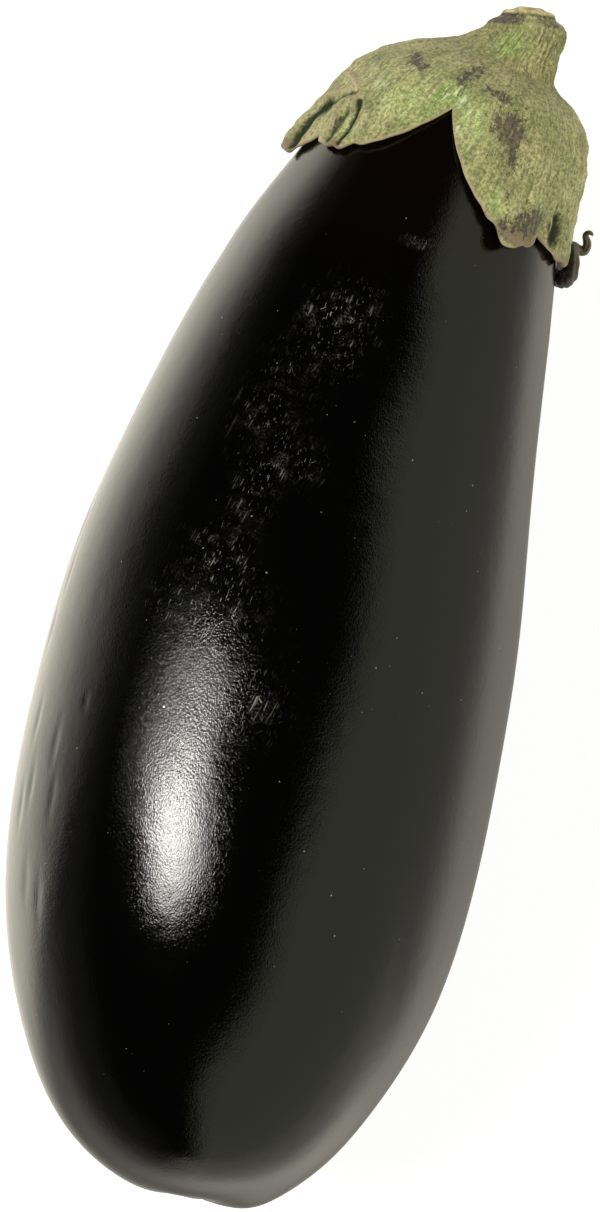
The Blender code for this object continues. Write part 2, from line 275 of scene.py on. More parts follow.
# Creases: half width, depth, darkness of the painted shade in them, then azimuth and station of the points
CREASES = (
    (0.00065, 0.0007, 0.8, ((143.1, 0.2047), (150.0, 0.2038), (155.0, 0.2027), (161.1, 0.2009))),
    (0.00180, 0.0006, 1.0,
     ((162.0, 0.2006), (167.1, 0.1984), (169.0, 0.1962), (169.5, 0.1945), (169.5, 0.1920))),
    (0.00055, 0.0006, 1.0,
     ((138.6, 0.2033), (136.4, 0.2015), (135.4, 0.2001), (135.6, 0.1985), (136.8, 0.1950))),
    (0.00100, 0.0006, 0.7, ((141.4, 0.2003), (141.8, 0.1985), (142.6, 0.1967), (142.8, 0.1952))),
    # Its darkness is mostly a painted shadow beside the rolled rim above it
    (0.00080, 0.0004, 0.3, ((145.0, 0.2078), (139.6, 0.2062), (136.8, 0.2046))),
    (0.00190, 0.0009, 1.0, ((26.6, 0.1922), (26.8, 0.1944), (27.8, 0.1964))),
    (0.00060, 0.0004, 0.5, ((28.4, 0.1960), (29.6, 0.1984), (29.8, 0.1996))),
    (0.00050, 0.0004, 0.4, ((51.1, 0.1975), (51.6, 0.2000), (50.6, 0.2022))),
    (0.00040, 0.0003, 0.3, ((43.0, 0.1990), (41.5, 0.2012), (40.5, 0.2030))),
    (0.00022, 0.0003, 0.8, ((61.4, 0.1924), (57.7, 0.1924), (54.4, 0.1936), (52.4, 0.1950))),
    (0.00040, 0.0002, 0.15, ((75.0, 0.2050), (70.0, 0.2000), (66.0, 0.1960))),
    (0.00040, 0.0003, 0.3, ((-28.0, 0.2060), (-31.0, 0.2000), (-33.0, 0.1950))),
    (0.00045, 0.0003, 0.3, ((-95.0, 0.2060), (-92.0, 0.2000), (-90.0, 0.1930))),
    (0.00045, 0.0003, 0.3, ((212.0, 0.2070), (215.0, 0.2010), (217.0, 0.1950))),
)
# Rolled rims and folds that stand up: half width, height, paleness, then azimuth and station of the points
RIDGES = (
    (0.00055, 0.0009, 1.0,
     ((161.0, 0.2071), (154.0, 0.2066), (146.0, 0.2058), (141.8, 0.2042), (140.4, 0.2022))),
    (0.00065, 0.0005, 0.7, ((173.0, 0.2010), (165.4, 0.2026), (156.0, 0.2046), (150.0, 0.2057))),
    (0.00050, 0.0004, 0.7, ((144.4, 0.2012), (145.2, 0.1986), (146.8, 0.1958))),
    (0.00050, 0.0003, 0.4, ((33.0, 0.1925), (32.5, 0.1950), (31.5, 0.1985))),
    (0.00060, 0.0003, 0.2, ((24.0, 0.1905), (23.5, 0.1940), (23.0, 0.1985))),
    (0.00050, 0.0002, 0.3, ((61.4, 0.1933), (57.7, 0.1933), (54.4, 0.1945))),
)
# Bruises, which noise breaks up: azimuth, station, reach round, reach along, and strength
BRUISES = (
    (135.0, 0.2146, 0.0022, 0.0012, 0.74),
    (129.5, 0.2135, 0.0030, 0.0011, 0.76),
    (124.0, 0.2128, 0.0016, 0.0009, 0.55),
    (98.5, 0.2165, 0.0020, 0.0018, 0.82),
    (104.0, 0.2142, 0.0022, 0.0018, 0.62),
    (98.0, 0.2118, 0.0024, 0.0020, 0.52),
    (86.0, 0.2140, 0.0016, 0.0010, 0.60),
    (79.0, 0.2136, 0.0036, 0.0013, 0.72),
    (69.0, 0.2100, 0.0038, 0.0028, 0.74),
    (74.0, 0.2088, 0.0030, 0.0024, 0.50),
    (67.0, 0.2056, 0.0030, 0.0036, 0.66),
    (64.6, 0.2015, 0.0018, 0.0040, 0.55),
    (61.0, 0.1975, 0.0012, 0.0036, 0.40),
    (47.5, 0.1944, 0.0048, 0.0030, 0.80),
    (41.0, 0.1955, 0.0028, 0.0030, 0.55),
    (53.0, 0.1916, 0.0034, 0.0018, 0.62),
    (59.0, 0.1898, 0.0018, 0.0022, 0.60),
    (48.0, 0.1925, 0.0026, 0.0016, 0.50),
    (28.0, 0.1940, 0.0022, 0.0040, 0.80),
    (20.0, 0.1925, 0.0022, 0.0030, 0.40),
    (143.5, 0.1975, 0.0014, 0.0030, 0.75),
    (-70.0, 0.2060, 0.0040, 0.0030, 0.60),
    (-150.0, 0.2100, 0.0040, 0.0030, 0.55),
    (-12.0, 0.2075, 0.0024, 0.0034, 0.55),
)
# Dried, tan places, in the same way
DRY = (
    (139.5, 0.1945, 0.0018, 0.0012, 1.00),
    (173.0, 0.1925, 0.0030, 0.0014, 1.00),
    (52.0, 0.1903, 0.0044, 0.0020, 1.00),
    (14.0, 0.1892, 0.0030, 0.0016, 1.00),
    (112.0, 0.2180, 0.0040, 0.0022, 0.45),
    (45.0, 0.2110, 0.0050, 0.0040, 0.35),
)
# Fresher green places, in the same way
FRESH = (
    (97.2, 0.2230, 0.0022, 0.0026, 1.0),
    (84.0, 0.2240, 0.0020, 0.0024, 0.5),
    (117.3, 0.2060, 0.0052, 0.0030, 0.8),
    (104.0, 0.2100, 0.0045, 0.0026, 1.0),
    (88.0, 0.2060, 0.0036, 0.0042, 0.9),
    (65.2, 0.1947, 0.0022, 0.0026, 0.8),
    (45.0, 0.1975, 0.0016, 0.0018, 0.6),
    (135.0, 0.2090, 0.0040, 0.0040, 0.4),
    (-100.0, 0.2000, 0.0060, 0.0050, 0.6),
    (-30.0, 0.2050, 0.0060, 0.0050, 0.5),
)

# Dried tip: its centre line as station, x, height above the middle line, and the tube's radius
DRIED_TIP_PATH = (
    (0.1876, 0.0281, -0.0145, 0.00110),
    (0.1864, 0.0291, -0.0136, 0.00140),
    (0.1849, 0.0306, -0.0117, 0.00160),
    (0.1836, 0.0322, -0.0090, 0.00170),
    (0.1839, 0.0333, -0.0060, 0.00165),
    (0.1854, 0.0337, -0.0038, 0.00150),
    (0.1872, 0.0336, -0.0030, 0.00130),
    (0.1890, 0.0332, -0.0040, 0.00110),
    (0.1898, 0.0332, -0.0061, 0.00100),
    (0.1895, 0.0342, -0.0077, 0.00095),
    (0.1896, 0.0352, -0.0080, 0.00090),
    (0.1905, 0.0356, -0.0076, 0.00080),
    (0.1916, 0.0353, -0.0071, 0.00070),
    (0.1924, 0.0349, -0.0066, 0.00058),
    (0.1930, 0.0352, -0.0059, 0.00045),
    (0.1930, 0.0358, -0.0054, 0.00035),
    (0.1926, 0.0362, -0.0050, 0.00022),
)
TIP_ROWS, TIP_COLUMNS = 220, 40
TIP_WRINKLE = 0.12  # height of the wrinkles as a share of the tube's radius
TIP_ROUNDING = 0.02  # share of the length over which each end is rounded
TIP_UPWARDS = (0.35, 0.30, 0.89)  # each section's side is square to this direction

# Colours, linear
SKIN_BLACK = (0.0010, 0.0009, 0.0009, 1.0)
SKIN_NEAR_CAP = (0.0026, 0.0013, 0.0010, 1.0)
SCUFF_GREY = (0.26, 0.25, 0.22, 1.0)
CORK = (0.17, 0.11, 0.06, 1.0)
GREEN_DEEP = (0.310, 0.318, 0.141, 1.0)
GREEN_PALE = (0.447, 0.421, 0.215, 1.0)
GREEN_FRESH = (0.360, 0.468, 0.177, 1.0)
TAN = (0.413, 0.344, 0.210, 1.0)
DRY_TAN = (0.21, 0.145, 0.095, 1.0)
BRUISE_DARK = (0.045, 0.036, 0.036, 1.0)
BRUISE_BROWN = (0.130, 0.092, 0.070, 1.0)
RIM_TAN = (0.45, 0.36, 0.22, 1.0)
STRAW = (0.86, 0.72, 0.36, 1.0)
STRAW_DARK = (0.50, 0.38, 0.18, 1.0)
# Painted shade in the creases and along the step round the cut plate
CREASE_PAINTED_SHADE = (0.030, 0.038, 0.022, 1.0)
SCRATCH_PALE = (0.66, 0.70, 0.46, 1.0)
PIT_DARK = (0.11, 0.10, 0.055, 1.0)
MOTTLE_SHADES = ((0.50, 0.50, 0.46, 1.0), (1.24, 1.24, 1.20, 1.0))
FIBRE_SHADES = ((0.72, 0.71, 0.68, 1.0), (1.20, 1.20, 1.16, 1.0))
DRIED_DARK = (0.022, 0.017, 0.013, 1.0)
DRIED_OLIVE = (0.085, 0.080, 0.040, 1.0)
DRIED_BROWN = (0.10, 0.065, 0.05, 1.0)
DRIED_END = (0.24, 0.20, 0.10, 1.0)
DRIED_DUST = (0.25, 0.22, 0.17, 1.0)

# Depths of the fine relief that the materials add
DIMPLE_DEPTH, RIPPLE_DEPTH, SCUFF_DEPTH = 0.000056, 0.000055, 0.000020
LEATHER_DEPTH, FIBRE_DEPTH, PIT_DEPTH, SCRATCH_DEPTH = 0.00028, 0.00022, 0.00010, 0.00004
WRINKLE_DEPTH = 0.00012

# Camera: straight above the fruit, square to its middle line, turned so that the stem leans to the right
CAMERA_STATION = 0.1127
CAMERA_DISTANCE = 4.0
CAMERA_TURN = math.radians(14.0)
VIEW_HEIGHT = 0.22503  # what the picture's height takes in at the middle line
SENSOR = 36.0

# Softboxes: degrees to the left of straight up and towards the blossom end, distance, length and width,
# radiance, and whether the skin mirrors it
SOFTBOXES = {
    "key": (28.5, 9.2, 1.20, (0.34, 0.35), 25.0, True),
    "upper": (36.8, 2.7, 1.20, (0.13, 0.29), 56.0, True),
    "halo": (50.5, -1.0, 1.25, (0.22, 0.46), 2.3, True),
    "fill": (-40.0, -12.0, 1.50, (1.2, 1.2), 2.1, False),
    "stem side": (50.0, -40.0, 1.50, (1.2, 1.2), 1.2, False),
}
LAMP_COLOUR = (1.0, 0.985, 0.93)
WALL_RADIANCE = 0.67
# Edge of the pale wall on the right: how far forward, and how far right it starts, as parts of a unit
# direction
WALL_EDGE = (
    (-0.972, 0.130),
    (-0.903, 0.105),
    (-0.806, 0.065),
    (-0.751, 0.050),
    (-0.684, 0.110),
    (-0.585, 0.250),
    (-0.409, 0.370),
    (-0.266, 0.400),
    (-0.037, 0.435),
    (0.124, 0.555),
    (0.257, 0.571),
    (0.372, 0.526),
    (0.405, 0.465),
    (0.479, 0.361),
)
WALL_SHIFT = 0.5  # added to the edge inside the curve, which holds no numbers below 0
WALL_BLUR = 0.035
WALL_COLOUR = (1.0, 1.03, 0.78, 1.0)
ROOM_DARK = 0.003
# On the left the room is a little paler near the horizon
HORIZON_TOP = 0.30  # height where this ends, as a part of a unit direction
HORIZON_SIDE = -0.40  # how far left it is full, in the same way
HORIZON_RADIANCE = 0.11
FLOOR_SIZE = 6.0
FLOOR_COLOUR = (0.36, 0.36, 0.36, 1.0)
FLOOR_GLOW = 0.90
# Pool of light on the floor as the skin mirrors it: distance from the fruit's middle, and share of the full
# light
POOL_LEFT = (
    (0.0, 0.24), (0.045, 0.43), (0.07, 0.68), (0.10, 0.76), (0.13, 0.68),
    (0.18, 0.47), (0.25, 0.34), (0.35, 0.26), (0.50, 0.19), (1.0, 0.11),
)
POOL_RIGHT = (
    (0.0, 0.12), (0.045, 0.13), (0.07, 0.25), (0.095, 0.39), (0.126, 0.48),
    (0.172, 0.38), (0.256, 0.29), (0.476, 0.25), (1.0, 0.23),
)
POOL_RADIANCE = 2.65
POOL_COLOUR = (1.0, 0.955, 0.82, 1.0)
POOL_BLEND = 0.045  # the two sides blend within this distance of the middle
POOL_MIDDLE, POOL_HALF = 0.010, 0.110  # the pool runs round the ends of this stretch
POOL_NEAR, POOL_FAR = -0.10, 0.08  # the scales and the level below change between these places
# Past the blossom end the left side dims and the right side brightens, to these shares
POOL_END = (-0.085, -0.135)
LEFT_END, RIGHT_END = 0.25, 1.5
# On the left, distances are scaled by the first number plus the second for each metre forward. The
# brightness is too, by the second pair
LEFT_SCALE, LEFT_SCALE_SLOPE = 0.93, 1.8
LEFT_LEVEL, LEFT_LEVEL_SLOPE = 1.16, -1.0
# On the right, distances are scaled by the first number plus the second times the square of the place and
# the third
RIGHT_SCALE, RIGHT_SCALE_BEND, RIGHT_SHIFT = 0.94, 44.0, 0.020
# Colour of the room and of the floor's glow to the eye
PALE = (0.93, 0.93, 0.93, 1.0)


def smooth_line(knots, at):
    """Values at the numbers in at, on the natural cubic spline through rows of (number, value, ...)."""
    knots = np.asarray(knots, dtype=float)
    number, value = knots[:, 0], knots[:, 1:]
    step = np.diff(number)
    slope = np.diff(value, axis=0) / step[:, None]
    count = len(number)
    system = np.eye(count)
    right = np.zeros_like(value)
    for i in range(1, count - 1):
        system[i, i - 1:i + 2] = step[i - 1], 2.0 * (step[i - 1] + step[i]), step[i]
        right[i] = 6.0 * (slope[i] - slope[i - 1])
    bend = np.linalg.solve(system, right)
    at = np.clip(np.asarray(at, dtype=float), number[0], number[-1])
    span = np.clip(np.searchsorted(number, at, side="right") - 1, 0, count - 2)
    after = (at - number[span])[..., None]
    before = (number[span + 1] - at)[..., None]
    width = step[span][..., None]
    bent = (bend[span] * before ** 3 + bend[span + 1] * after ** 3) / (6.0 * width)
    low = (value[span] / width - bend[span] * width / 6.0) * before
    high = (value[span + 1] / width - bend[span + 1] * width / 6.0) * after
    return (bent + low + high)[..., 0] if value.shape[1] == 1 else bent + low + high


def smooth_path(points, share):
    """Places at the shares 0 to 1 of the length of a smooth line through points."""
    points = np.asarray(points, dtype=float)
    length = np.concatenate([[0.0], np.cumsum(np.linalg.norm(np.diff(points, axis=0), axis=1))])
    return smooth_line(np.column_stack([length, points]), np.asarray(share) * length[-1])


def ease(share):
    """0 to 1 with level ends, held at 0 and 1 outside: three times the square less twice the cube."""
    share = np.clip(share, 0.0, 1.0)
    return share * share * (3.0 - 2.0 * share)


def pole_angle(station):
    """Angle of a station seen from the fruit's middle, 0 at the blossom end and pi at the stem end."""
    return np.arccos(np.clip(1.0 - 2.0 * np.asarray(station) / FRUIT_LENGTH, -1.0, 1.0))


def fruit_outline(angle):
    """Station and radius of the fruit's skin at a pole angle: half the length times one less the angle's
    cosine, and a smooth line through FRUIT_PROFILE."""
    knots = [(float(pole_angle(station)), radius) for station, radius in FRUIT_PROFILE]
    return 0.5 * FRUIT_LENGTH * (1.0 - np.cos(angle)), smooth_line(knots, angle)


def offset_outline(angle, distance):
    """The fruit's outline moved out of the skin by a distance, square to the line between the points of
    the outline just before and after."""
    small = 1e-4
    station, radius = fruit_outline(angle)
    station_on, radius_on = fruit_outline(np.minimum(angle + small, math.pi))
    station_back, radius_back = fruit_outline(np.maximum(angle - small, 0.0))
    along, out = station_on - station_back, radius_on - radius_back
    length = np.hypot(along, out)
    return station - distance * out / length, radius + distance * along / length


def place(station, azimuth, radius):
    """Points at a station, azimuth and radius round the middle line, before the fruit is laid down: the
    cosine's part runs sideways, turned by SECTION_TURN, and the sine's part up, times SECTION_HEIGHT."""
    centre = smooth_line(MIDDLE_LINE, station)
    turn = np.radians(np.interp(station, *zip(*SECTION_TURN)))
    side = radius * np.cos(azimuth)
    return np.stack([
        centre + side * np.cos(turn),
        station - side * np.sin(turn),
        SECTION_HEIGHT * radius * np.sin(azimuth),
    ], axis=-1)


def lay_down(points):
    """Leans the fruit until its underside is level at REST_STATION, and sets that spot on the origin."""
    small = 1e-5
    near = pole_angle(np.array([REST_STATION - small, REST_STATION, REST_STATION + small]))
    _, radius = fruit_outline(near)
    lean = math.atan(SECTION_HEIGHT * (radius[2] - radius[0]) / (2.0 * small))
    along = points[..., 1] - REST_STATION
    height = points[..., 2] + SECTION_HEIGHT * radius[1]
    sine, cosine = math.sin(lean), math.cos(lean)
    return np.stack([
        points[..., 0] - smooth_line(MIDDLE_LINE, REST_STATION),
        along * cosine - height * sine,
        along * sine + height * cosine - REST_FLATTENING,
    ], axis=-1)


def lobe_edge(azimuth_degrees):
    """Station of the cap's edge, tip lift and place between notch 0 and tip 1, at an azimuth. The station
    goes from notch to tip by one less the remaining share to the power of the lobe's fullness."""
    turns = (np.asarray(azimuth_degrees) - NOTCHES[0][0]) % 360.0 + NOTCHES[0][0]
    notches = np.array(NOTCHES + ((NOTCHES[0][0] + 360.0, NOTCHES[0][1]),))
    tips = np.array(LOBE_TIPS)
    lobe = np.clip(np.searchsorted(notches[:, 0], turns, side="right") - 1, 0, len(tips) - 1)
    tip = tips[lobe]
    notch = np.where((turns < tip[..., 0])[..., None], notches[lobe], notches[lobe + 1])
    share = np.clip((turns - notch[..., 0]) / (tip[..., 0] - notch[..., 0]), 0.0, 1.0)
    reach = 1.0 - (1.0 - share) ** tip[..., 2]
    return notch[..., 1] + (tip[..., 1] - notch[..., 1]) * reach, tip[..., 3], share


def waves(points, length, seed, count=14):
    """A smooth random height of about -1 to 1: the sum of sine waves in random directions, each about one
    length from crest to crest, over the square root of their number."""
    draw = np.random.default_rng(seed)
    total = np.zeros(points.shape[:-1])
    for _ in range(count):
        heading = draw.normal(size=3)
        heading *= 2.0 * math.pi / (length * draw.uniform(0.7, 1.4) * np.linalg.norm(heading))
        total += np.sin(points @ heading + draw.uniform(0.0, 2.0 * math.pi))
    return total / math.sqrt(count)


def turned_from(middle, azimuth_degrees):
    """The turn from a middle azimuth, -180 to 180 degrees."""
    return (azimuth_degrees - middle + 180.0) % 360.0 - 180.0


def patches(table, azimuth_degrees, station, radius):
    """Sum of soft round patches, each strength times the bell curve of the distance over the two reaches."""
    total = np.zeros(np.broadcast(azimuth_degrees, station).shape)
    for middle, at, reach_round, reach_along, strength in table:
        across = np.radians(turned_from(middle, azimuth_degrees)) * radius / reach_round
        total += strength * np.exp(-across ** 2 - ((station - at) / reach_along) ** 2)
    return total


def swelling(table, azimuth_degrees, station):
    """Sum of soft swellings: height times the bell curve of the turn and the station over their reaches."""
    total = np.zeros(np.broadcast(azimuth_degrees, station).shape)
    for middle, at, reach_round, reach_along, height in table:
        turned = turned_from(middle, azimuth_degrees)
        total += height * np.exp(-(turned / reach_round) ** 2 - ((station - at) / reach_along) ** 2)
    return total


def line_distance(points, across, along):
    """Distance on the flat (across, along) plane from each place to the nearest stretch of a line."""
    best = np.full(across.shape, np.inf)
    for (x0, y0), (x1, y1) in zip(points[:-1], points[1:]):
        dx, dy = x1 - x0, y1 - y0
        share = np.clip(((across - x0) * dx + (along - y0) * dy) / (dx * dx + dy * dy), 0.0, 1.0)
        best = np.minimum(best, np.hypot(across - x0 - share * dx, along - y0 - share * dy))
    return best


def cap_lines(table, azimuth_degrees, station, radius):
    """Height and shade of the soft lines of a table at each place. A line's own are its height and its shade
    times the bell curve of the distance to it, and the largest of all lines' counts."""
    height, shade = np.zeros(station.shape), np.zeros(station.shape)
    for half_width, line_height, line_shade, spots in table:
        middle = spots[0][0]
        across = np.radians(turned_from(middle, azimuth_degrees)) * radius
        flat = [(math.radians(azimuth - middle) * CAP_RADIUS, at) for azimuth, at in spots]
        bell = np.exp(-(line_distance(flat, across, station) / half_width) ** 2)
        height = np.maximum(height, line_height * bell)
        shade = np.maximum(shade, line_shade * bell)
    return height, shade


def add_object(name, data):
    """A new object of the scene that holds the data."""
    thing = bpy.data.objects.new(name, data)
    bpy.context.scene.collection.objects.link(thing)
    return thing


def closed_grid(name, points, material, attributes, outward=True):
    """A closed surface from points[row, column]: columns wrap round, and the first and last rows are one
    point each, joined to their neighbours by fans. The UV map holds the column's and the row's share."""
    rows, columns = points.shape[:2]
    ring = np.arange((rows - 2) * columns).reshape(rows - 2, columns) + 1
    last = ring[-1, -1] + 1
    index = np.vstack([np.zeros(columns, int), ring, np.full(columns, last)])
    row, column = np.meshgrid(np.arange(rows - 1), np.arange(columns), indexing="ij")
    corner_rows = np.stack([row, row + 1, row + 1, row], axis=-1)
    corner_columns = np.stack([column, column, column + 1, column + 1], axis=-1)
    if not outward:
        corner_rows, corner_columns = corner_rows[..., ::-1], corner_columns[..., ::-1]
    quads = index[corner_rows, corner_columns % columns].reshape(-1, 4)
    uv = np.stack([corner_columns / columns, corner_rows / (rows - 1)], axis=-1).reshape(-1, 4, 2)
    # At a pole two corners of the quad are the same point, and the second of them is left out
    keep = quads != np.roll(quads, 1, axis=1)

    def flat(values):
        """One row of values for each vertex: the first pole, the rings and the last pole."""
        return np.concatenate([values[0, :1], values[1:-1].reshape(-1, *values.shape[2:]), values[-1, :1]])

    verts = flat(points)
    starts = np.concatenate([[0], np.cumsum(keep.sum(axis=1))[:-1]])
    mesh = bpy.data.meshes.new(name)
    mesh.vertices.add(len(verts))
    mesh.vertices.foreach_set("co", verts.ravel())
    mesh.loops.add(int(keep.sum()))
    mesh.loops.foreach_set("vertex_index", quads[keep])
    mesh.polygons.add(len(quads))
    mesh.polygons.foreach_set("loop_start", starts)
    layer = mesh.uv_layers.new(name="UVMap")
    layer.data.foreach_set("uv", uv[keep].ravel())
    mesh.update(calc_edges=True)
    mesh.validate()
    for key, values in attributes.items():
        kind, field = ("FLOAT", "value") if values.ndim == 2 else ("FLOAT_VECTOR", "vector")
        mesh.attributes.new(key, kind, "POINT").data.foreach_set(field, flat(values).ravel())
    mesh.shade_smooth()
    mesh.materials.append(material)
    return add_object(name, mesh)


def join_frame(piece, node):
    """The piece rides on the part's one body and stands for its solid, which is hidden."""
    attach(piece, "root")
    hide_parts(node)


def blossom_relief(points):
    """How far the blossom end is pushed in: the dent and the bulge are bell curves of the distance to their
    middles, the scar is a level dip, and the puckers are a cosine of the turn round the scar, bent by slow
    sines and fading on both sides of PUCKER_RADIUS. Gives the dip, the puckers with the scar, and where the
    scar is."""
    across, height = points[..., 0], points[..., 2]
    dip = np.zeros(across.shape)
    for x, z, reach, depth in (BLOSSOM_DENT, BLOSSOM_BULGE):
        dip += depth * np.exp(-((across - x) ** 2 + (height - z) ** 2) / reach ** 2)
    side, up = across - SCAR_PLACE[0], height - SCAR_PLACE[1]
    away, turn = np.hypot(side, up), np.arctan2(up, side)
    bend = 1.4 * np.sin(turn + 0.5) + 0.9 * np.sin(2.0 * turn + 1.0)
    uneven = 0.6 + 0.4 * np.sin(turn + 2.0)
    fading = np.exp(-((away - PUCKER_RADIUS) / PUCKER_WIDTH) ** 2)
    pucker = uneven * np.cos(PUCKER_COUNT * turn + bend) * fading
    scar = 1.0 - ease((away - SCAR_RADIUS) / (SCAR_FADE * SCAR_RADIUS))
    return dip, PUCKER_DEPTH * (pucker + scar), scar


def make_skin(material):
    """The fruit's skin: the outline turned round the middle line, plus low swells, small dents, the blossom
    end's dent and bulge, and puckers that run out from the blossom scar. Its underside is cut level."""
    polar = np.linspace(0.0, math.pi, SKIN_ROWS)[:, None]
    azimuth = np.linspace(0.0, 2.0 * math.pi, SKIN_COLUMNS, endpoint=False)[None, :]
    station, radius = fruit_outline(polar)
    degrees = np.degrees(azimuth)
    smooth = place(station, azimuth, radius)
    lift = SWELL_HEIGHT * waves(smooth * SWELL_STRETCH, SWELL_LENGTH, seed=3)
    for middle, at, half_length, half_width, depth in DENTS:
        lift -= patches([(middle, at, half_width, half_length, depth)], degrees, station, radius)
    lift *= 1.0 - ease((station - SWELL_END) / SWELL_FADE)
    points = place(station, azimuth, radius + lift * np.sin(polar))
    front = station < 0.5 * FRUIT_LENGTH
    dip, puckers, scar = blossom_relief(points)
    points[..., 1] += (dip + puckers) * front
    points = lay_down(points)
    points[..., 2] = np.maximum(points[..., 2], 0.0)
    scuffed = np.clip(patches(SCUFFS, degrees, station, radius), 0.0, 1.0)
    marks = {
        "scuffed": scuffed,
        "peel": np.clip(patches(PEELED, degrees, station, radius), 0.0, 1.0),
        "near_cap": ease((station - TINT_START) / TINT_FADE) + np.zeros_like(scuffed),
        "scar": scar * front,
    }
    join_frame(closed_grid("skin", points, material, marks), "fruit")


def cap_columns():
    """Azimuths of the cap's columns in degrees: evenly spread, and one on each tip and notch."""
    kept = np.array([row[0] for row in LOBE_TIPS + NOTCHES]) % 360.0
    spread = np.arange(CAP_COLUMNS) * 360.0 / CAP_COLUMNS
    nearest = np.abs(turned_from(kept, spread[:, None])).min(axis=1)
    return np.sort(np.concatenate([spread[nearest > COLUMN_CLEARANCE], kept]))


def cap_edge(degrees):
    """Station of the edge on the finished cap, tip lift and place between notch 0 and tip 1: the lobes' own
    outline, which two sines make waver, less towards the notches, and which the jags carry on."""
    station, tip_lift, share = lobe_edge(degrees)
    azimuth = np.radians(degrees)
    first, second = EDGE_WAVE_COUNTS
    station = station + EDGE_WAVE * (np.sin(azimuth * first) + np.sin(azimuth * second + 1.0)) * share
    for middle, reach, further in JAGS:
        station = station - further * np.exp(-(turned_from(middle, degrees) / reach) ** 2)
    return station, tip_lift, share


def edge_distance(degrees, station):
    """Distance to the nearest edge on the unrolled cap: for each turn to both sides, the long side of a right
    triangle whose short sides are the turn's length and the way to the edge's station, and the least of
    these."""
    distance = np.full(station.shape, np.inf)
    for turn in np.radians(np.arange(-EDGE_SEARCH, EDGE_SEARCH + EDGE_SEARCH_STEP, EDGE_SEARCH_STEP)):
        there = lobe_edge(degrees + math.degrees(turn))[0]
        distance = np.minimum(distance, np.hypot(turn * EDGE_RADIUS, station - there))
    return distance


def cap_fibres(smooth, azimuth, station):
    """Lengthwise ridges: two sines of the azimuth, which wanders a little, lower on the lobes."""
    on_stem = ease((station - FIBRE_END) / FIBRE_FADE)
    azimuth = azimuth + FIBRE_WANDER * waves(smooth, WANDER_LENGTH, seed=13)
    first, second = FIBRE_COUNTS
    fibres = np.sin(azimuth * first) + 0.7 * np.sin(azimuth * second + 2.0)
    return FIBRE_HEIGHT * fibres * (LOBE_FIBRES + (1.0 - LOBE_FIBRES) * on_stem)


